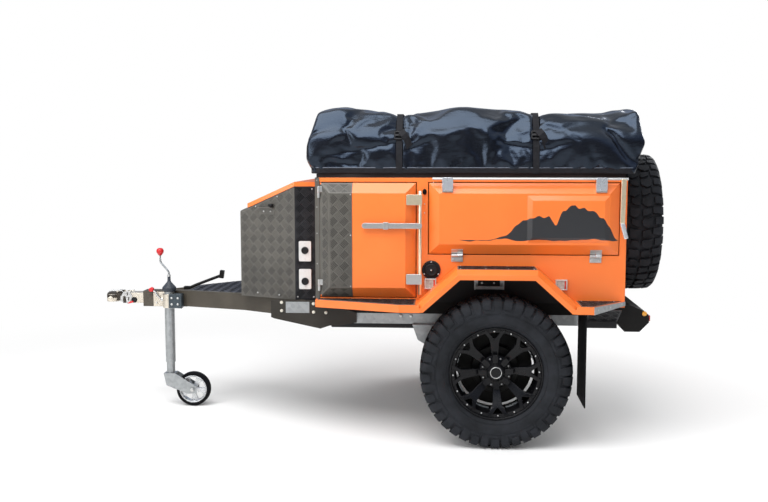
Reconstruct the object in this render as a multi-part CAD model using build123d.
"""Compact off-road camping trailer, parked on its road wheels and its jockey wheel.

Millimetres. +X runs to the rear, -X to the tow coupling, -Y is the left (kerb) side, +Z is up.
The origin lies on the ground, midway between the coupling's tip and the spare wheel's rear face.
Left-hand pieces are modelled and the right-hand ones are their mirror images in the XZ plane.
"""

import os
from math import cos, hypot, pi, sin

from build123d import *

# Overall layout
AXLE_X = 720.0
BODY_FRONT = -255.0
BODY_REAR = 1400.0
BODY_HALF = 720.0
WHEEL_OUT = 48.0
WALL = 30.0
FLOOR_Z = 735.0
ROOF_Z = 1420.0
GAP = 5.0
SEAT = 0.3

# Road wheels and spare
TYRE_R = 402.0
TYRE_W = 264.0
TREAD_HALF = 108.0
LUGS = 20
LUG_H = 14.0
LUG_W = 66.0
LUG_ROOT_R = 336.0
LUG_REACH = 34.0
RIM_SEAT_R = 228.7
RIM_LIP_R = 245.0
RIM_HALF = 100.0
RIM_LIP_W = 10.0
RIM_WALL = 9.0
SPOKES = 8
SPOKE_W = 44.0
SPOKE_LEAN = 3.0
FORK_L = 42.0
FORK_ANGLE = 46.0
HUB_R = 78.0
HUB_CAP_R = 34.0
HUB_BACK = 10.0
DRUM_R = 125.0
DRUM_W = 60.0
SHIELD_R = 200.0
SHIELD_T = 10.0
SPINDLE_R = 25.0
RUNNING = 0.05

# Chassis and suspension
RAIL_ROOM = 10.0
RAIL_W = 50.0
RAIL_BOTTOM = 610.0
RAIL_H = 60.0
RAIL_FRONT = -140.0
RAIL_REAR = 1345.0
CROSS_W = 60.0
CROSS_X = (-110.0, 200.0, 560.0, 900.0, 1270.0)
ARM_PIVOT = (345.0, 545.0)
ARM_DEPTH = 80.0
ARM_W = 50.0
SPRING_R = 52.0
SPRING_X = 590.0
ARM_OUT = 15.0
BRACKET_T = 8.0
TOWER_X = (-112.0, 50.0)
TOWER_LIFT = 8.0
TOWER_H = 93.0
TOWER_OUT = 40.0
TOWER_BAR_Z = (38.0, 54.0)
TANK_BOTTOM = 572.0
TANK_REAR = 300.0
TANK_LEAD = 50.0
TANK_ROOM = 10.0

# Drawbar
NOSE_FRONT = -1427.0
NOSE_HALF = 45.0
NOSE_H = 96.0
NOSE_TOP = 702.0
BAR_W = 60.0
BAR_H = 96.0
BAR_TOP = 735.0
BAR_FRONT_X = -1250.0
BAR_KINK_X = -722.0
BAR_REAR_X = -330.0
DECK_T = 4.0
PLATE_T = 8.0
NOSE_REAR = -1150.0
DECK_FRONT = -1118.0
GUSSET_LOW = ((-520.0, 30.0), (-500.0, 22.0), (-243.0, -32.0), (-190.0, -14.0), (-130.0, -14.0), (-40.0, 5.0))
GUSSET_SHOULDER_X = -250.0
BEAM_W = 130.0
LEVER_X = -1157.0
LEVER_RUN = ((7.0, 14.0), (57.0, 36.0), (209.0, 94.0))
LEVER_R = 9.0
LEVER_BASE = (42.0, 32.0, 26.0)
LEVER_GRIP = (24.0, 30.0, 48.0)

# Coupling
TIP_X = -1671.5
COUPLING_Z = 655.0
BALL_R = 25.0
BALL_PLAY = 0.3
SOCKET_DEPTH = 24.0
HEAD_R = 40.0

# Jockey wheel
JOCKEY_X = -1243.0
JOCKEY_OFFSET = 105.0
JOCKEY_TUBE_R = 30.0
JOCKEY_TUBE_WALL = 4.0
JOCKEY_TUBE_BOTTOM = 272.0
JOCKEY_WHEEL_R = 105.0
JOCKEY_TYRE_W = 54.0
JOCKEY_FACETS = 32
JOCKEY_TRAIL = 142.0
JOCKEY_FORK_T = 5.0
SWIVEL_R = 12.0

# Body openings
DOOR_X = (-222.0, 292.0)
DOOR_Z = (780.0, 1393.0)
HATCH_X = (362.0, 1360.0)
HATCH_Z = (1016.0, 1393.0)
CORNER_CUT_X = 27.0
CORNER_CUT_Y = 40.0
BEVEL_W = 54.0
BEVEL_OUT = 40.0
PLATEAU_X = (878.0, 1304.0)
PLATEAU_OUT = 13.0
PLATEAU_BEVEL = 26.0
HINGE_OUT = 8.0
HINGE_R = 4.5
KNUCKLE_R = 7.5
HINGE_L = 60.0
HINGE_LEAF = 32.0
DOOR_PIN = 6.0
DOOR_HINGE_Z = (842.0, 1343.0)
HATCH_HINGE_X = (512.0, 1241.0)
CHEQUER_T = 3.0
CHEQUER_END_X = -46.0

# Fenders and sills
FENDER_REACH = 205.0
FENDER_TOP = 950.0
ARCH_TOP_HALF = 211.0
ARCH_FOOT_HALF = 414.0
SILL_TOP = 768.0
SILL_H = 40.0
SHEET = 4.0
FENDER_BEVEL = (50.0, 24.0)
FENDER_FLANGE = 49.0
TREAD_STRIP_T = 2.0
SILL_TAPER_X = 212.0
SILL_FRONT_REACH = 45.0
SILL_REAR_X = 1211.0
SILL_END_DROP = 22.0
STRIP_EDGE = 8.0
FLAP_X = 1170.0
FLAP_T = 6.0
FLAP_BOTTOM = 240.0
FLAP_IN = 90.0
WELL_ROOM = 46.0
WELL_T = 5.0

# Toolbox
BOX_FRONT = -722.0
BOX_CORNER = -387.0
BOX_FRONT_HALF = 420.0
BOX_REAR_HALF = 560.0
BOX_WALL = 20.0
BOX_FRONT_TOP = 1222.0
BOX_REAR_TOP = 1368.0
LID_T = 25.0
LID_LIP = 5.0
LID_PIN_R = 5.0
LID_ROOM = 12.0

# Roof tent
TENT_OVERHANG = (37.0, 90.0)
TENT_HALF = 705.0
TENT_BASE_T = 20.0
TENT_TOP = 1762.0
STRAP_X = (201.0, 925.0)
STRAP_W = 40.0
STRAP_T = 2.5

# Spare wheel
SPARE_Z = 1145.0
SPARE_STAND = 271.5
SPARE_ROOM = 14.0

SPARE_PLATE = (300.0, 380.0)
SPARE_PLATE_T = 8.0
SPARE_POST_R = 70.0

# Rear bumper: offsets from the lower rear end of the chassis rails
BUMPER_PROFILE = (
    (0.0, 40.0), (0.0, 90.0), (50.0, 122.0), (105.0, 122.0), (183.0, 90.0), (205.0, 64.0), (205.0, 30.0),
    (155.0, -22.0), (75.0, -22.0), (40.0, 20.0),
)
BUMPER_OVERHANG = 40.0
TAIL_LAMP = (12.0, 120.0, 28.0)
TAIL_LAMP_IN = 30.0
SKIRT_T = 10.0
SKIRT_X = (1215.0, 1380.0)

# Side fittings
MARKER_IN = 60.0
MARKER = (44.0, 10.0, 32.0)
MARKER_Z = 862.0
FILLER_X = 375.5
FILLER_Z = 929.0
FILLER_R = 50.0
FILLER_T = 14.0
SOCKET_X = -329.5
SOCKET_Z = (1008.5, 852.5)
SOCKET_PLATE = (69.0, 4.0, 113.0)
SOCKET_R = 19.0
SOCKET_OUT = 12.0

# Locks
DOOR_ROD_GAP = 24.0
DOOR_ROD_OUT = 32.0
DOOR_ROD_R = 8.0
DOOR_ROD_ENDS = (20.0, 63.0)
DOOR_CATCH_ENDS = (76.0, 114.0)
CATCH_H = 52.0
DOOR_LEVER_Z = 1168.0
DOOR_LEVER_L = 302.0
DOOR_LEVER_H = 20.0
HATCH_ROD_OUT = 34.0
HATCH_ROD_R = 7.0
HATCH_ROD_ENDS = (18.0, 37.0)
HATCH_CATCH_ENDS = (70.0, 128.0)
CATCH_W = 56.0
HATCH_LEVER_DROP = (230.0, 312.0)
LEVER_T = 10.0

# Sizes that follow from the ones above
SPARE_REAR = BODY_REAR + SPARE_STAND
TENT_X = (BODY_FRONT - TENT_OVERHANG[0], BODY_REAR + TENT_OVERHANG[1])
WHEEL_Y = BODY_HALF + WHEEL_OUT
WELL_INNER = WHEEL_Y - TYRE_W / 2 - WELL_ROOM
RAIL_OUT = WELL_INNER - RAIL_ROOM
FENDER_HALF = BODY_HALF + FENDER_REACH
SILL_FRONT_HALF = BODY_HALF + SILL_FRONT_REACH
BUMPER_HALF = RAIL_OUT + BUMPER_OVERHANG

OUT = "parts"


def box(x0, x1, y0, y1, z0, z1):
    """A block between two corners."""
    return Pos((x0 + x1) / 2, (y0 + y1) / 2, (z0 + z1) / 2) * Box(x1 - x0, y1 - y0, z1 - z0)


def side_prism(points, y0, y1):
    """A side-view (X, Z) outline, extruded from y0 to y1."""
    outline = Polyline(*[(x, y0, z) for x, z in points], close=True)
    return extrude(make_face(outline), amount=y1 - y0, dir=(0, 1, 0))


def plan_prism(points, z0, z1):
    """A plan-view (X, Y) outline, extruded from z0 to z1."""
    outline = Polyline(*[(x, y, z0) for x, y in points], close=True)
    return extrude(make_face(outline), amount=z1 - z0, dir=(0, 0, 1))


def end_prism(points, x0, x1):
    """An end-view (Y, Z) outline, extruded from x0 to x1."""
    outline = Polyline(*[(x0, y, z) for y, z in points], close=True)
    return extrude(make_face(outline), amount=x1 - x0, dir=(1, 0, 0))


def rod(start, end, radius):
    """A round bar from one point to another."""
    way = Vector(*end) - Vector(*start)
    return extrude(Plane(Vector(*start), z_dir=way) * Circle(radius), amount=way.length)


def bent_rod(points, radius, bend):
    """A round bar along straight runs joined by arcs."""
    path = FilletPolyline(*points, radius=bend)
    return sweep(Plane(path @ 0, z_dir=path % 0) * Circle(radius), path=path)


def other_side(shape):
    return mirror(shape, about=Plane.XZ)


def pair(shape):
    """A left-hand solid and its mirror image, as one node of two solids."""
    return Compound(children=[shape, other_side(shape)])


def frustum(x0, x1, z0, z1, bevel, y0, y1):
    """A raised panel whose four edges slope from y0 in to y1."""
    base = Polyline((x0, y0, z0), (x1, y0, z0), (x1, y0, z1), (x0, y0, z1), close=True)
    x2, x3, z2, z3 = x0 + bevel, x1 - bevel, z0 + bevel, z1 - bevel
    top = Polyline((x2, y1, z2), (x3, y1, z2), (x3, y1, z3), (x2, y1, z3), close=True)
    return loft([make_face(base), make_face(top)], ruled=True)


def wheel_frame(side):
    """Where a road wheel stands: its own -Y side is the outer face."""
    centre = Pos(AXLE_X, side * WHEEL_Y, TYRE_R)
    return centre if side < 0 else centre * Rot(0, 0, 180)


def faceted_ring(profile, sides):
    """A ring with flat facets about the Y axis, from a closed profile of (corner radius, y) points."""
    turns = [2 * pi * k / sides for k in range(sides)]
    rows = [[(r * cos(a), y, r * sin(a)) for a in turns] for r, y in profile]
    faces = []
    for near, far in zip(rows, rows[1:] + rows[:1]):
        for k in range(sides):
            faces.append(Face(Wire.make_polygon([near[k - 1], near[k], far[k], far[k - 1]])))
    return Solid(Shell(faces))


def make_tyre():
    """A ring with a flat for each lug and gap, and lugs that wrap each shoulder, about the Y axis."""
    half = TYRE_W / 2
    floor = TYRE_R - LUG_H
    belly = (RIM_LIP_R + LUG_ROOT_R) / 2
    bore = (RIM_SEAT_R + SEAT) / cos(pi / (2 * LUGS))
    profile = [(bore, RIM_HALF - SEAT), (RIM_LIP_R + 2, RIM_HALF - SEAT), (belly, half - 2)]
    profile += [(LUG_ROOT_R, half - 4), (floor - 8, TREAD_HALF - 2)]
    profile += [(r, -y) for r, y in reversed(profile)]
    tyre = faceted_ring(profile, 2 * LUGS)
    side = [(LUG_ROOT_R, half - 14), (LUG_ROOT_R, half - 1), (TYRE_R - 6, TREAD_HALF + 4)]
    side += [(TYRE_R, LUG_REACH), (floor - 14, LUG_REACH), (floor - 14, TREAD_HALF - 16)]
    outline = make_face(Polyline(*[(r, y, -LUG_W / 2) for r, y in side], close=True))
    lug = extrude(outline, amount=LUG_W, dir=(0, 0, 1))
    lugs = []
    for n in range(LUGS):
        for shift, turn in ((0.0, Rot(0, 0, 0)), (0.5, Rot(180, 0, 0))):
            lugs.append(Rot(0, (n + shift) * 360 / LUGS, 0) * turn * lug)
    return tyre.fuse(*lugs)


def make_rim():
    """Barrel with two lips, eight dished spokes, hub and brake drum, about the Y axis."""
    inside = RIM_SEAT_R - RIM_WALL
    edge = RIM_HALF + RIM_LIP_W
    barrel = make_face(
        Polyline(
            (inside, -edge), (RIM_LIP_R, -edge), (RIM_LIP_R, -RIM_HALF), (RIM_SEAT_R, -RIM_HALF),
            (RIM_SEAT_R, RIM_HALF), (RIM_LIP_R, RIM_HALF), (RIM_LIP_R, edge), (inside, edge), close=True,
        )
    )
    rim = revolve(barrel, axis=Axis.Y)
    face, back, nose = -58.0, HUB_BACK, -78.0
    hub = make_face(
        Polyline(
            (0, back), (HUB_R, back), (HUB_R, face + 30), (HUB_CAP_R + 14, nose), (HUB_CAP_R, nose),
            (HUB_CAP_R, nose - 6), (0, nose - 6), close=True,
        )
    )
    rim += revolve(hub, axis=Axis.Y)
    fork_r = inside - FORK_L
    spoke = [(HUB_R - 14, face + 26), (HUB_R - 14, back), (150, -18)]
    spoke += [(fork_r + 6, -44), (fork_r + 6, -84), (150, -60)]
    outline = make_face(Polyline(*[(r, y, -SPOKE_W / 2) for r, y in spoke], close=True))
    arm = extrude(outline, amount=SPOKE_W, dir=(0, 0, 1))
    for lean in (-FORK_ANGLE, FORK_ANGLE):
        branch = Pos(FORK_L, -82, 0) * Box(2 * FORK_L, 32, SPOKE_W / 2)
        arm += Pos(fork_r - 6, 0, 0) * Rot(0, lean, 0) * branch
    arm &= Rot(90, 0, 0) * Cylinder((inside + RIM_SEAT_R) / 2, 4 * RIM_HALF)
    for n in range(SPOKES):
        rim += Rot(0, n * 360 / SPOKES + 90 - SPOKE_LEAN, 0) * arm
    rim += Pos(0, back + DRUM_W / 2, 0) * Rot(90, 0, 0) * Cylinder(DRUM_R, DRUM_W)
    rim += Pos(0, back + DRUM_W - SHIELD_T / 2, 0) * Rot(90, 0, 0) * Cylinder(SHIELD_R, SHIELD_T)
    depth = back + DRUM_W + 20
    rim -= Pos(0, back + DRUM_W - depth / 2, 0) * Rot(90, 0, 0) * Cylinder(SPINDLE_R + RUNNING, depth)
    return rim


def spare_centre():
    """The spare's middle plane, so that its bulging sidewall ends at the part's rear."""
    return SPARE_REAR - make_tyre().bounding_box().max.Y


def make_wheels():
    tyre, rim = make_tyre(), make_rim()
    nodes = {}
    for side, name in ((-1, "left"), (1, "right")):
        nodes[f"tyre_{name}"] = wheel_frame(side) * tyre
        nodes[f"rim_{name}"] = wheel_frame(side) * rim
    spare = Pos(spare_centre(), 0, SPARE_Z) * Rot(0, 0, 90)
    nodes["spare_tyre"] = spare * tyre
    nodes["spare_rim"] = spare * rim
    return nodes


def make_chassis():
    nodes = {}
    top = RAIL_BOTTOM + RAIL_H
    nodes["chassis_rails"] = pair(box(RAIL_FRONT, RAIL_REAR, -RAIL_OUT, -RAIL_OUT + RAIL_W, RAIL_BOTTOM, top))
    reach = RAIL_OUT
    beams = [box(x - CROSS_W / 2, x + CROSS_W / 2, -reach, reach, top, FLOOR_Z) for x in CROSS_X]
    beams.append(box(BAR_REAR_X, BAR_REAR_X + BEAM_W, -reach, reach, RAIL_BOTTOM + 5, BAR_TOP))
    nodes["cross_members"] = Compound(children=beams)
    side = RAIL_OUT - RAIL_W - TANK_ROOM
    tank = box(RAIL_FRONT - TANK_LEAD, TANK_REAR, -side, side, TANK_BOTTOM, top)
    nodes["water_tank"] = fillet(tank.edges().filter_by(Axis.X), 20)

    px, pz = ARM_PIVOT
    ax, az = AXLE_X, TYRE_R
    along = Vector(ax - px, 0, az - pz).normalized()
    across = Vector(-along.Z, 0, along.X) * (ARM_DEPTH / 2)
    outer, inner = -RAIL_OUT - ARM_OUT, -RAIL_OUT - ARM_OUT + ARM_W
    corners = [Vector(px, 0, pz) + across, Vector(ax, 0, az) + across]
    corners += [Vector(ax, 0, az) - across, Vector(px, 0, pz) - across]
    arm = side_prism([(c.X, c.Z) for c in corners], outer, inner)
    arm += Pos(ax, (outer + inner) / 2, az) * Rot(90, 0, 0) * Cylinder(ARM_DEPTH / 2, ARM_W)
    tip = -WHEEL_Y - 8
    arm += rod((ax, outer, az), (ax, tip, az), SPINDLE_R)
    nodes["trailing_arms"] = pair(arm)

    bracket = side_prism(
        [(px - 75, RAIL_BOTTOM), (px + 60, RAIL_BOTTOM), (px + 60, pz + 30), (px + 5, pz - 50),
         (px - 45, pz - 20)],
        outer - BRACKET_T, inner + BRACKET_T,
    )
    bracket -= side_prism(
        [(px - 90, pz + 48), (px + 90, pz + 48), (px + 90, pz - 90), (px - 90, pz - 90)],
        outer - SEAT, inner + SEAT,
    )
    fraction = (SPRING_X - px) / (ax - px)
    foot = pz + (az - pz) * fraction
    spring = Pos(SPRING_X, -RAIL_OUT + RAIL_W / 2, (foot + RAIL_BOTTOM) / 2) * Cylinder(
        SPRING_R, RAIL_BOTTOM - foot
    )
    under = [(c.X, c.Z) for c in corners[:2]] + [(ax, 0), (px, 0)]
    nodes["air_springs"] = pair(spring - side_prism(under, -BODY_HALF, 0))

    back = -WELL_INNER - WELL_T
    x0, x1 = AXLE_X + TOWER_X[0], AXLE_X + TOWER_X[1]
    z0 = 2 * TYRE_R + TOWER_LIFT
    z1 = z0 + TOWER_H
    t = BRACKET_T
    tower = box(x0, x1, back - t, back, z0, z1)
    tower += box(x0, x0 + t, back - TOWER_OUT, back - t, z0, z1)
    tower += box(x1 - t, x1, back - TOWER_OUT, back - t, z0, z1)
    tower += box(x0 + t, x1 - t, back - TOWER_OUT, back - t, z0 + TOWER_BAR_Z[0], z0 + TOWER_BAR_Z[1])
    fixed = [bracket, tower]
    nodes["suspension_brackets"] = Compound(children=fixed + [other_side(b) for b in fixed])
    return nodes


def bar_side_view(extra_top=0.0, height=BAR_H):
    """Side view of the drawbar's bars: they rise from the nose, then run level."""
    high = [(NOSE_FRONT + 40, NOSE_TOP), (BAR_KINK_X, BAR_TOP), (BAR_REAR_X, BAR_TOP)]
    top = [(x, z + extra_top) for x, z in high]
    low = [(x, z + extra_top - height) for x, z in reversed(high)]
    return top + low


def make_drawbar():
    nodes = {}
    nose = box(NOSE_FRONT, NOSE_REAR, -NOSE_HALF, NOSE_HALF, NOSE_TOP - NOSE_H, NOSE_TOP)
    start_x = BAR_FRONT_X
    run = (RAIL_OUT - NOSE_HALF) / (BAR_REAR_X - start_x)
    width = BAR_W * (1 + run * run) ** 0.5
    inner_start = start_x + width / run
    end_y = NOSE_HALF + run * (BAR_REAR_X - start_x)
    plan = [(start_x, -NOSE_HALF), (BAR_REAR_X, -end_y), (BAR_REAR_X, -end_y + width)]
    plan += [(inner_start, -NOSE_HALF)]
    bar = side_prism(bar_side_view(), -2 * BODY_HALF, 0) & plan_prism(plan, 0, ROOF_Z)
    nodes["drawbar_rails"] = pair(bar)
    over_nose = side_prism(bar_side_view(height=2 * BAR_H), -NOSE_HALF, NOSE_HALF)
    over_nose += box(NOSE_FRONT, NOSE_FRONT + 45, -NOSE_HALF, NOSE_HALF, 0, NOSE_TOP)
    nodes["drawbar_nose"] = nose & over_nose

    deck_x = (DECK_FRONT, BOX_FRONT)
    edge = [NOSE_HALF + run * (x - start_x) - 4 for x in deck_x]
    plan = [(deck_x[0], -edge[0]), (deck_x[1], -edge[1]), (deck_x[1], edge[1]), (deck_x[0], edge[0])]
    sheet = side_prism(bar_side_view(extra_top=DECK_T, height=DECK_T), -BODY_HALF, BODY_HALF)
    nodes["drawbar_deck"] = sheet & plan_prism(plan, 0, ROOF_Z)

    low = [(x, RAIL_BOTTOM + z) for x, z in GUSSET_LOW]
    gusset = low + [(low[-1][0], RAIL_BOTTOM + RAIL_H), (GUSSET_SHOULDER_X, BAR_TOP), (low[0][0], BAR_TOP)]
    nodes["drawbar_gussets"] = pair(side_prism(gusset, -RAIL_OUT - PLATE_T, -RAIL_OUT))

    run = [(LEVER_X + x, 0, NOSE_TOP + z) for x, z in LEVER_RUN]
    lever = bent_rod(run, LEVER_R, 3 * LEVER_R)
    length, width, height = LEVER_BASE
    lever += Pos(LEVER_X, 0, NOSE_TOP + height / 2) * Box(length, width, height)
    end = run[-1]
    lever += Pos(end[0] + LEVER_R, 0, end[2] + LEVER_R) * Rot(0, 8, 0) * Box(*LEVER_GRIP)
    nodes["brake_lever"] = lever
    return nodes


def make_coupling():
    """Cast head with a downward ball socket, shank, hand lever and rotating barrel."""
    centre_x = TIP_X + HEAD_R
    head = Pos(centre_x, 0, COUPLING_Z + 4) * Cylinder(HEAD_R, 56)
    head = fillet(head.edges().group_by(Axis.Z)[-1], 16)
    head += box(centre_x, TIP_X + 150, -24, 24, COUPLING_Z - 16, COUPLING_Z + 26)
    head += rod((TIP_X + 110, 0, COUPLING_Z), (NOSE_FRONT, 0, COUPLING_Z), 34)
    head += box(TIP_X + 150, NOSE_FRONT, -38, 38, COUPLING_Z - 30, COUPLING_Z + 34)
    head += box(TIP_X + 60, TIP_X + 118, -9, 9, COUPLING_Z + 26, COUPLING_Z + 44)
    socket = BALL_R + BALL_PLAY
    mouth = COUPLING_Z + 4 - 28
    head -= Pos(centre_x, 0, mouth + SOCKET_DEPTH / 2) * Cylinder(socket, SOCKET_DEPTH)
    return {"tow_coupling": head}


def make_jockey():
    nodes = {}
    y = -JOCKEY_OFFSET
    top = NOSE_TOP + 8
    bottom = JOCKEY_TUBE_BOTTOM
    tube = Pos(JOCKEY_X, y, (top + bottom) / 2) * Cylinder(JOCKEY_TUBE_R, top - bottom)
    bore = JOCKEY_TUBE_R - JOCKEY_TUBE_WALL
    tube -= Pos(JOCKEY_X, y, (top + bottom) / 2 - 10) * Cylinder(bore, top - bottom)
    nodes["jockey_tube"] = tube

    ring = JOCKEY_TUBE_R + SEAT
    clamp = box(JOCKEY_X - 116, BAR_FRONT_X - 1, -NOSE_HALF - 10, -NOSE_HALF, NOSE_TOP - 94, NOSE_TOP - 4)
    collar = Pos(JOCKEY_X, y, NOSE_TOP - 49) * Cylinder(ring + 9, 84)
    collar += box(JOCKEY_X - 34, BAR_FRONT_X - 1, y, -NOSE_HALF - 10, NOSE_TOP - 91, NOSE_TOP - 7)
    clamp += collar
    clamp -= Pos(JOCKEY_X, y, NOSE_TOP - 49) * Cylinder(ring, 120)
    nodes["jockey_clamp"] = clamp

    cap = make_face(
        Polyline(
            (0, top), (JOCKEY_TUBE_R + 8, top), (JOCKEY_TUBE_R + 12, top + 20), (9, top + 62), (8, top + 96),
            (0, top + 96), close=True,
        )
    )
    cap = Pos(JOCKEY_X, y, 0) * revolve(Plane.XZ * cap, axis=Axis.Z)
    knee = top + 96
    crank = bent_rod(
        [(JOCKEY_X, y, knee), (JOCKEY_X, y, knee + 24), (JOCKEY_X - 52, y, knee + 84),
         (JOCKEY_X - 52, y, knee + 126)],
        6, 12,
    )
    knob = Pos(JOCKEY_X - 52, y, knee + 126 + 22) * Cylinder(21, 44)
    nodes["jockey_crank"] = cap + crank + fillet(knob.edges(), 8)

    stem_r = bore - SEAT
    fork_top = 206.0
    stem = rod((JOCKEY_X, y, fork_top), (JOCKEY_X, y, top - 60), stem_r)
    stem += rod((JOCKEY_X, y, fork_top - 14), (JOCKEY_X, y, fork_top), SWIVEL_R)
    nodes["jockey_stem"] = stem
    wheel_x = JOCKEY_X + JOCKEY_TRAIL
    gap = JOCKEY_TYRE_W / 2 + GAP
    cheek = [(JOCKEY_X - 36, fork_top - 1), (JOCKEY_X + 34, fork_top - 1)]
    cheek += [(wheel_x + 24, JOCKEY_WHEEL_R + 20), (wheel_x + 24, JOCKEY_WHEEL_R - 22)]
    cheek += [(wheel_x - 30, JOCKEY_WHEEL_R - 26), (JOCKEY_X - 20, 130)]
    fork = side_prism(cheek, y - gap - JOCKEY_FORK_T, y - gap)
    fork += side_prism(cheek, y + gap, y + gap + JOCKEY_FORK_T)
    fork += box(JOCKEY_X - 36, JOCKEY_X + 34, y - gap, y + gap, fork_top - 7, fork_top - 1)
    fork -= rod((JOCKEY_X, y, fork_top - 20), (JOCKEY_X, y, fork_top), SWIVEL_R + RUNNING)
    fork += rod((wheel_x, y - gap - 12, JOCKEY_WHEEL_R), (wheel_x, y + gap + 12, JOCKEY_WHEEL_R), 9)
    nodes["jockey_fork"] = fork

    axis = Pos(wheel_x, y, JOCKEY_WHEEL_R)
    half = JOCKEY_TYRE_W / 2
    rim_r = JOCKEY_WHEEL_R - 20
    bore = (rim_r + SEAT) / cos(pi / JOCKEY_FACETS)
    profile = [(bore, half - 6), (JOCKEY_WHEEL_R - 6, half), (JOCKEY_WHEEL_R, half - 8)]
    profile += [(r, -y) for r, y in reversed(profile)]
    nodes["jockey_tyre"] = axis * faceted_ring(profile, JOCKEY_FACETS)
    disc = make_face(
        Polyline(
            (9 + RUNNING, -half + 2), (22, -half + 2), (22, -8), (rim_r - 8, -8), (rim_r - 8, -half + 5),
            (rim_r, -half + 5), (rim_r, half - 5), (rim_r - 8, half - 5), (rim_r - 8, 8), (22, 8),
            (22, half - 2), (9 + RUNNING, half - 2), close=True,
        )
    )
    nodes["jockey_rim"] = axis * revolve(disc, axis=Axis.Y)
    return nodes


def arch_outline(inset=0.0, bottom=FLOOR_Z):
    """The wheel arch's opening in side view, drawn in by a sheet's thickness."""
    slant = hypot(ARCH_FOOT_HALF - ARCH_TOP_HALF, FENDER_TOP - SILL_TOP)
    shift = inset * (slant - (ARCH_FOOT_HALF - ARCH_TOP_HALF)) / (FENDER_TOP - SILL_TOP)
    top = ARCH_TOP_HALF - shift
    foot = ARCH_FOOT_HALF - inset
    z_top = FENDER_TOP - inset
    z_foot = z_top - (foot - top) * (FENDER_TOP - SILL_TOP) / (ARCH_FOOT_HALF - ARCH_TOP_HALF)
    points = [(-foot, bottom), (-foot, z_foot), (-top, z_top), (top, z_top), (foot, z_foot), (foot, bottom)]
    return [(AXLE_X + x, z) for x, z in points]


def make_body():
    nodes = {}
    inner = BODY_HALF - WALL
    column = BODY_FRONT + CORNER_CUT_X
    wall = box(column, BODY_REAR, -BODY_HALF, -inner, FLOOR_Z, ROOF_Z)
    for (x0, x1), (z0, z1) in ((DOOR_X, DOOR_Z), (HATCH_X, HATCH_Z)):
        wall -= box(x0 - GAP, x1 + GAP, -BODY_HALF - 1, -inner + 1, z0 - GAP, z1 + GAP)
    wall -= side_prism(arch_outline(bottom=FLOOR_Z - 1), -BODY_HALF - 1, -inner + 1)
    nodes["side_wall_left"] = wall
    nodes["side_wall_right"] = other_side(wall)

    front = BODY_HALF - CORNER_CUT_Y
    outline = [(BODY_FRONT, -front), (column, -BODY_HALF), (column, -front + 30), (BODY_FRONT, -front + 30)]
    nodes["corner_plates"] = pair(plan_prism(outline, FLOOR_Z, ROOF_Z))
    span = front - 30
    nodes["front_wall"] = box(BODY_FRONT, column, -span, span, FLOOR_Z, ROOF_Z)
    nodes["rear_wall"] = box(BODY_REAR - WALL, BODY_REAR, -inner, inner, FLOOR_Z, ROOF_Z)
    x0, x1 = column, BODY_REAR - WALL
    nodes["roof"] = box(x0, x1, -inner, inner, ROOF_Z - 20, ROOF_Z)
    floor = box(x0, x1, -inner, inner, FLOOR_Z, FLOOR_Z + 24)
    notch = box(AXLE_X - ARCH_FOOT_HALF, AXLE_X + ARCH_FOOT_HALF, -BODY_HALF, -WELL_INNER, 0, ROOF_Z)
    nodes["floor"] = floor - notch - other_side(notch)

    well = side_prism(arch_outline(SEAT), -BODY_HALF, -WELL_INNER)
    well -= side_prism(arch_outline(SEAT + WELL_T, FLOOR_Z - 1), -BODY_HALF - 1, -WELL_INNER - WELL_T)
    nodes["wheel_wells"] = pair(well)
    return nodes


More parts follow.
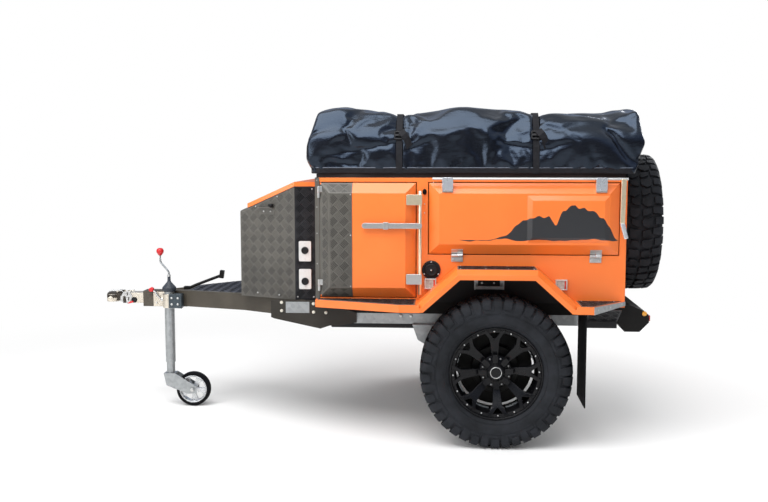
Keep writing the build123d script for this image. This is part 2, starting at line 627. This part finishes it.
def make_fenders():
    """Folded sheet: front sill that widens to the arch, the arch itself and the rear sill."""
    nodes = {}
    inner, outer = -BODY_HALF, -FENDER_HALF
    out, drop = FENDER_BEVEL
    foot, top = ARCH_FOOT_HALF, ARCH_TOP_HALF
    line = [(-foot, SILL_TOP), (-top, FENDER_TOP), (top, FENDER_TOP), (foot, SILL_TOP)]
    path = Polyline(*[(AXLE_X + x, inner, z) for x, z in line])
    start = Plane(path @ 0, x_dir=(0, -1, 0), z_dir=path % 0)
    reach = inner - outer
    fold = [(0, 0), (reach - out, 0), (reach, -drop), (reach, -FENDER_FLANGE)]
    fold += [(reach - SHEET, -FENDER_FLANGE), (reach - SHEET, -drop - 2)]
    fold += [(reach - out - 1, -SHEET), (0, -SHEET)]
    lift = 1 if start.y_dir.Z > 0 else -1
    profile = make_face(Polyline(*[(u, lift * v) for u, v in fold], close=True))
    fender = sweep(start * profile, path=path, transition=Transition.RIGHT)

    sill_low = SILL_TOP - SILL_H
    left_foot = AXLE_X - foot
    plan = [(BODY_FRONT + 10, inner), (left_foot + 12, inner), (left_foot + 12, outer), (SILL_TAPER_X, outer),
            (BODY_FRONT + 10, -SILL_FRONT_HALF)]
    hollow = [(BODY_FRONT + 9, inner + 1), (left_foot + 13, inner + 1), (left_foot + 13, outer + SHEET),
              (SILL_TAPER_X, outer + SHEET), (BODY_FRONT + 9, -SILL_FRONT_HALF + SHEET)]
    fender += plan_prism(plan, sill_low, SILL_TOP) - plan_prism(hollow, sill_low - 1, SILL_TOP - SHEET)
    right_foot = AXLE_X + foot
    rear = box(right_foot - 12, SILL_REAR_X, outer, inner, sill_low, SILL_TOP)
    rear -= box(right_foot - 13, SILL_REAR_X + 1, outer + SHEET, inner + 1, sill_low - 1, SILL_TOP - SHEET)
    tail = [(SILL_REAR_X, inner), (SILL_REAR_X, outer), (BODY_REAR, inner)]
    fender += rear + plan_prism(tail, SILL_TOP - SHEET, SILL_TOP)
    nodes["fenders"] = pair(fender)

    z0, z1 = FENDER_TOP, FENDER_TOP + TREAD_STRIP_T
    strips = [box(AXLE_X - top + 6, AXLE_X + top - 6, outer + out + 4, inner - 4, z0, z1)]
    s0, s1 = SILL_TOP, SILL_TOP + TREAD_STRIP_T
    front = [(BODY_FRONT + 20, inner - 2), (left_foot - 12, inner - 2), (left_foot - 12, outer + STRIP_EDGE),
             (SILL_TAPER_X, outer + STRIP_EDGE), (BODY_FRONT + 20, -SILL_FRONT_HALF + STRIP_EDGE)]
    strips.append(plan_prism(front, s0, s1))
    back = [(right_foot + 12, inner - 2), (right_foot + 12, outer + STRIP_EDGE)]
    back += [(SILL_REAR_X, outer + STRIP_EDGE), (BODY_REAR - 20, inner - 4), (BODY_REAR - 20, inner - 2)]
    strips.append(plan_prism(back, s0, s1))
    nodes["tread_strips"] = Compound(children=strips + [other_side(s) for s in strips])

    way = Vector(BODY_REAR - SILL_REAR_X, inner - outer, 0)
    wedge = Polyline((SILL_REAR_X, outer, SILL_TOP), (BODY_REAR, inner, SILL_TOP),
                     (BODY_REAR, inner, SILL_TOP - SILL_END_DROP), (SILL_REAR_X, outer, sill_low), close=True)
    across = Vector(way.Y, -way.X, 0).normalized()
    nodes["sill_end_plates"] = pair(extrude(make_face(wedge), amount=SHEET, dir=across))

    x0, x1 = FLAP_X, FLAP_X + FLAP_T
    flap = box(x0, x1, outer + SHEET, inner + FLAP_IN, FLAP_BOTTOM, sill_low)
    flap += box(x0, x1, outer + SHEET, inner - 1, sill_low, sill_low + 6)
    nodes["mudflaps"] = pair(flap)
    return nodes


def raised_panel(x_range, z_range):
    """A door leaf: a flat panel in its opening with a raised, bevelled outer face."""
    (x0, x1), (z0, z1) = x_range, z_range
    leaf = box(x0, x1, -BODY_HALF, -BODY_HALF + WALL - 4, z0, z1)
    return leaf + frustum(x0, x1, z0, z1, BEVEL_W, -BODY_HALF, -BODY_HALF - BEVEL_OUT)


def make_doors():
    nodes = {}
    face = -BODY_HALF - BEVEL_OUT
    door = raised_panel(DOOR_X, DOOR_Z)
    skin = frustum(
        DOOR_X[0], DOOR_X[1], DOOR_Z[0], DOOR_Z[1], BEVEL_W, -BODY_HALF - CHEQUER_T, face - CHEQUER_T
    )
    skin += box(DOOR_X[0], DOOR_X[1], -BODY_HALF - CHEQUER_T, -BODY_HALF, DOOR_Z[0], DOOR_Z[1])
    skin &= box(DOOR_X[0] + 8, CHEQUER_END_X, face - 20, -BODY_HALF, DOOR_Z[0], DOOR_Z[1])
    hatch = raised_panel(HATCH_X, HATCH_Z)
    plateau_z = (HATCH_Z[0] + BEVEL_W + 12, HATCH_Z[1] - BEVEL_W - 10)
    hatch += frustum(*PLATEAU_X, *plateau_z, PLATEAU_BEVEL, face, face - PLATEAU_OUT)

    y, half = -BODY_HALF - HINGE_OUT, HINGE_L / 2
    pin = DOOR_X[0] - DOOR_PIN
    for z in DOOR_HINGE_Z:
        leaf = box(pin, pin + 18, y - 5, y + 4, z + SEAT, z + half)
        door = moving_knuckle((pin, y, z + SEAT), (pin, y, z + half), leaf, door)
    low = HATCH_Z[0] - HINGE_OUT
    for x in HATCH_HINGE_X:
        leaf = box(x + SEAT, x + half, y - 5, y + 4, low, low + 18)
        hatch = moving_knuckle((x + SEAT, y, low), (x + half, y, low), leaf, hatch)

    rod_x, rod_y, rod_r = DOOR_X[1] + DOOR_ROD_GAP, -BODY_HALF - DOOR_ROD_OUT, DOOR_ROD_R
    rod_foot, rod_head = DOOR_Z[0] + DOOR_ROD_ENDS[0], DOOR_Z[1] - DOOR_ROD_ENDS[1]
    lock = rod((rod_x, rod_y, rod_foot), (rod_x, rod_y, rod_head), rod_r)
    catch = [(rod_x + 8, rod_y - 13), (rod_x + 8, rod_y), (rod_x - 8, rod_y), (DOOR_X[1] - 12, face + 31),
             (DOOR_X[1] - BEVEL_W + 4, face + 3), (DOOR_X[1] - BEVEL_W + 8, face - 3)]
    for z in (DOOR_Z[0] + DOOR_CATCH_ENDS[0], DOOR_Z[1] - DOOR_CATCH_ENDS[1]):
        lock += plan_prism(catch, z, z + CATCH_H)
    low, high = DOOR_LEVER_Z - DOOR_LEVER_H / 2, DOOR_LEVER_Z + DOOR_LEVER_H / 2
    lift = face - LEVER_T
    lock += box(rod_x - DOOR_LEVER_L, rod_x, lift - LEVER_T - 4, lift, low, high)
    lock += box(rod_x - 9, rod_x + 9, lift - LEVER_T - 4, rod_y, low, high)
    clip = rod_x - 0.6 * DOOR_LEVER_L
    lock += box(clip - 13, clip + 13, lift, face, low + 2, high - 2)
    lock -= door
    skin -= door

    bar_z, bar_y, bar_r = ROOF_Z - 4, -BODY_HALF - HATCH_ROD_OUT, HATCH_ROD_R
    bar_end = HATCH_X[1] + HATCH_ROD_ENDS[1]
    bar = rod((HATCH_X[0] + HATCH_ROD_ENDS[0], bar_y, bar_z), (bar_end, bar_y, bar_z), bar_r)
    hook = [(bar_y - 12, bar_z + 7), (bar_y, bar_z + 7), (bar_y, bar_z - 7), (face + 36, HATCH_Z[1] - 14),
            (face + 8, HATCH_Z[1] - BEVEL_W + 4), (face - 6, HATCH_Z[1] - BEVEL_W + 8)]
    for x in (HATCH_X[0] + HATCH_CATCH_ENDS[0], HATCH_X[1] - HATCH_CATCH_ENDS[1]):
        bar += end_prism(hook, x, x + CATCH_W)
    knee, tip = (bar_z - drop for drop in HATCH_LEVER_DROP)
    arm = [(bar_end - 37, bar_z), (bar_end - 13, bar_z), (bar_end - 17, knee), (bar_end + 3, tip + 4),
           (bar_end - 17, tip), (bar_end - 39, knee)]
    bar += side_prism(arm, face - 4 - LEVER_T, face - 4)
    bar += box(bar_end - 35, bar_end - 15, face - 4 - LEVER_T, bar_y, bar_z - 12, bar_z)
    bar -= hatch
    for name, turn in (("left", lambda s: s), ("right", other_side)):
        nodes[f"door_{name}"] = turn(door)
        nodes[f"door_plate_{name}"] = turn(skin)
        nodes[f"door_lock_{name}"] = turn(lock)
        nodes[f"hatch_{name}"] = turn(hatch)
        nodes[f"hatch_lock_{name}"] = turn(bar)
    return nodes


def corner_room():
    """All that lies outside the body's front corner post."""
    post = [(BODY_FRONT - 1, -BODY_HALF + CORNER_CUT_Y), (BODY_FRONT, -BODY_HALF + CORNER_CUT_Y),
            (BODY_FRONT + CORNER_CUT_X, -BODY_HALF), (BODY_FRONT + CORNER_CUT_X, -BODY_HALF - 100),
            (BODY_FRONT - 1, -BODY_HALF - 100)]
    return plan_prism(post, 0, 2 * ROOF_Z)


def moving_knuckle(start, end, leaf, panel):
    """The half of a hinge that turns on the fixed pin, joined to its panel by a leaf."""
    knuckle = rod(start, end, KNUCKLE_R) + leaf
    return panel + knuckle - rod(start, end, HINGE_R + RUNNING)


def make_hinges():
    """Fixed hinge leaves with their knuckles on the body, for the doors and the hatches."""
    pieces = []
    y, r = -BODY_HALF - HINGE_OUT, KNUCKLE_R
    pin, half = DOOR_X[0] - DOOR_PIN, HINGE_L / 2
    for z in DOOR_HINGE_Z:
        leaf = box(pin - r, pin, y, -BODY_HALF, z - half, z - RUNNING) & corner_room()
        pieces.append(rod((pin, y, z - half), (pin, y, z + half), HINGE_R)
                      + rod((pin, y, z - half), (pin, y, z - RUNNING), r) + leaf)
    low = HATCH_Z[0] - HINGE_OUT
    for x in HATCH_HINGE_X:
        leaf = box(x - half, x - RUNNING, -BODY_HALF - SHEET, -BODY_HALF, low - HINGE_LEAF, low)
        pieces.append(rod((x - half, y, low), (x + half, y, low), HINGE_R)
                      + rod((x - half, y, low), (x - RUNNING, y, low), r) + leaf)
    pieces += [other_side(p) for p in pieces]
    x, z = BODY_FRONT - LID_PIN_R, BOX_REAR_TOP + LID_T + 3
    for y in (-380.0, 380.0):
        pieces.append(
            rod((x, y - 40, z), (x, y + 40, z), LID_PIN_R) + box(x, BODY_FRONT, y - 40, y + 40, z, z + 18)
        )
    return {"hinges": Compound(children=pieces)}


def make_toolbox():
    nodes = {}
    floor = BAR_TOP
    plan = [(BOX_FRONT, -BOX_FRONT_HALF), (BOX_CORNER, -BOX_REAR_HALF), (BODY_FRONT, -BOX_REAR_HALF)]
    plan += [(x, -y) for x, y in reversed(plan)]
    slope = (BOX_REAR_TOP - BOX_FRONT_TOP) / (BOX_CORNER - BOX_FRONT)
    profile = [(BOX_FRONT, floor), (BOX_FRONT, BOX_FRONT_TOP), (BOX_CORNER, BOX_REAR_TOP)]
    profile += [(BODY_FRONT, BOX_REAR_TOP), (BODY_FRONT, floor)]
    shell = plan_prism(plan, floor, ROOF_Z) & side_prism(profile, -BODY_HALF, BODY_HALF)
    t = BOX_WALL
    k = (BOX_REAR_HALF - BOX_FRONT_HALF) / (BOX_CORNER - BOX_FRONT)
    side = t * hypot(1, k)
    hollow = [(BOX_FRONT + t, -BOX_FRONT_HALF - k * t + side), (BOX_CORNER, -BOX_REAR_HALF + side),
              (BODY_FRONT - t, -BOX_REAR_HALF + side)]
    hollow += [(x, -y) for x, y in reversed(hollow)]
    nodes["toolbox"] = shell - plan_prism(hollow, floor + t, ROOF_Z)

    lip = LID_LIP
    rear = BODY_FRONT - LID_ROOM
    lid_plan = [(BOX_FRONT + 46, -BOX_FRONT_HALF - 46 * k - lip), (BOX_CORNER, -BOX_REAR_HALF - lip),
                (rear, -BOX_REAR_HALF - lip)]
    lid_plan += [(x, -y) for x, y in reversed(lid_plan)]
    s = SEAT
    line = [(BOX_FRONT + 46, BOX_FRONT_TOP + 46 * slope + s), (BOX_CORNER, BOX_REAR_TOP + s)]
    line += [(rear, BOX_REAR_TOP + s)]
    lid_view = line + [(x, z + LID_T) for x, z in reversed(line)]
    nodes["toolbox_lid"] = side_prism(lid_view, -BODY_HALF, BODY_HALF) & plan_prism(lid_plan, 0, 2 * ROOF_Z)

    plates = []
    wide, thick, tall = SOCKET_PLATE
    face = -BOX_REAR_HALF - thick
    for z in SOCKET_Z:
        low, high = z - tall / 2, z + tall / 2
        plate = box(SOCKET_X - wide / 2, SOCKET_X + wide / 2, face, -BOX_REAR_HALF, low, high)
        plates.append(plate + rod((SOCKET_X, face, z - 8), (SOCKET_X, face - SOCKET_OUT, z - 8), SOCKET_R))
    nodes["power_sockets"] = Compound(children=plates)
    return nodes


def make_rear():
    nodes = {}
    profile = [(RAIL_REAR + x, RAIL_BOTTOM + z) for x, z in BUMPER_PROFILE]
    nodes["rear_bumper"] = side_prism(profile, -BUMPER_HALF, BUMPER_HALF)
    marks = []
    wide, thick, tall = MARKER
    ahead = ARCH_FOOT_HALF - MARKER_IN
    for x in (AXLE_X - ahead, AXLE_X + ahead):
        marks.append(Pos(x, -BODY_HALF - thick / 2, MARKER_Z) * Box(wide, thick, tall))
    thick, wide, tall = TAIL_LAMP
    x = RAIL_REAR + BUMPER_PROFILE[6][0]
    z = RAIL_BOTTOM + (BUMPER_PROFILE[5][1] + BUMPER_PROFILE[6][1]) / 2
    marks.append(Pos(x + thick / 2, -BUMPER_HALF + TAIL_LAMP_IN + wide / 2, z) * Box(thick, wide, tall))
    nodes["lamps"] = Compound(children=marks + [other_side(m) for m in marks])
    t = FILLER_T
    cap = rod((FILLER_X, -BODY_HALF, FILLER_Z), (FILLER_X, -BODY_HALF - t, FILLER_Z), FILLER_R)
    cap += rod((FILLER_X, -BODY_HALF - t, FILLER_Z), (FILLER_X, -BODY_HALF - t - 6, FILLER_Z), FILLER_R - 18)
    nodes["filler_cap"] = cap
    x0 = BODY_REAR
    hub = spare_centre() - (HUB_BACK + DRUM_W)
    wide, tall = SPARE_PLATE
    x1 = x0 + SPARE_PLATE_T
    carrier = box(x0, x1, -wide / 2, wide / 2, SPARE_Z - tall / 2, SPARE_Z + tall / 2)
    carrier += rod((x1, 0, SPARE_Z), (hub, 0, SPARE_Z), SPARE_POST_R)
    carrier += rod((hub, 0, SPARE_Z), (hub + 2 * SPINDLE_R, 0, SPARE_Z), SPINDLE_R)
    nodes["spare_carrier"] = carrier
    low = SILL_TOP - SILL_H - 1
    end = -BUMPER_HALF
    bottom = RAIL_BOTTOM + BUMPER_PROFILE[6][1]
    slant = [(-BODY_HALF - 4 * SKIRT_T, low), (-BODY_HALF - 3 * SKIRT_T, low)]
    slant += [(end, bottom + SKIRT_T), (end, bottom)]
    nodes["rear_skirts"] = pair(end_prism(slant, *SKIRT_X))
    return nodes


def make_tent():
    """Folded roof tent in its cover: a soft box whose rear end is dented by the spare wheel."""
    nodes = {}
    x0, x1 = TENT_X
    base_top = ROOF_Z + TENT_BASE_T
    base_half = BODY_HALF - 30
    nodes["tent_base"] = box(BODY_FRONT + 10, BODY_REAR - 4, -base_half, base_half, ROOF_Z, base_top)
    low, high = base_top + SEAT, TENT_TOP
    view = [(x0 + 24, low), (x0, low + 90), (x0 + 8, low + 220), (x0 + 60, high), (x1 - 40, high),
            (x1, high - 140), (x1 - 50, low)]
    end = [(-TENT_HALF + 10, low), (-TENT_HALF, low + 60), (-TENT_HALF + 6, low + 200)]
    end += [(-TENT_HALF + 90, high)]
    end += [(-y, z) for y, z in reversed(end)]
    cover = side_prism(view, -BODY_HALF, BODY_HALF) & end_prism(end, x0 - 10, x1 + 10)
    room = TYRE_R + SPARE_ROOM
    cover -= box(BODY_REAR + 2, x1 + 20, -room, room, 0, SPARE_Z + room)
    nodes["tent_cover"] = cover
    s = SEAT
    ring = [(-TENT_HALF + 10 - s, low), (-TENT_HALF - s, low + 60), (-TENT_HALF + 6 - s, low + 200),
            (-TENT_HALF + 90 - s, high + s)]
    ring += [(-y, z) for y, z in reversed(ring)]
    t = STRAP_T
    hull = [(-TENT_HALF + 10 - s - t, low), (-TENT_HALF - s - t, low + 60)]
    hull += [(-TENT_HALF + 6 - s - t, low + 200), (-TENT_HALF + 90 - s - t, high + s + t)]
    hull += [(-y, z) for y, z in reversed(hull)]
    straps = []
    for x in STRAP_X:
        straps.append(end_prism(hull, x - STRAP_W / 2, x + STRAP_W / 2)
                      - end_prism(ring, x - STRAP_W, x + STRAP_W))
    nodes["tent_straps"] = Compound(children=straps)
    return nodes


def main():
    os.makedirs(OUT, exist_ok=True)
    makers = (make_wheels, make_chassis, make_drawbar, make_coupling, make_jockey, make_body, make_fenders,
              make_doors, make_hinges, make_toolbox, make_rear, make_tent)
    for maker in makers:
        for name, shape in maker().items():
            export_step(shape, os.path.join(OUT, name + ".step"))


main()
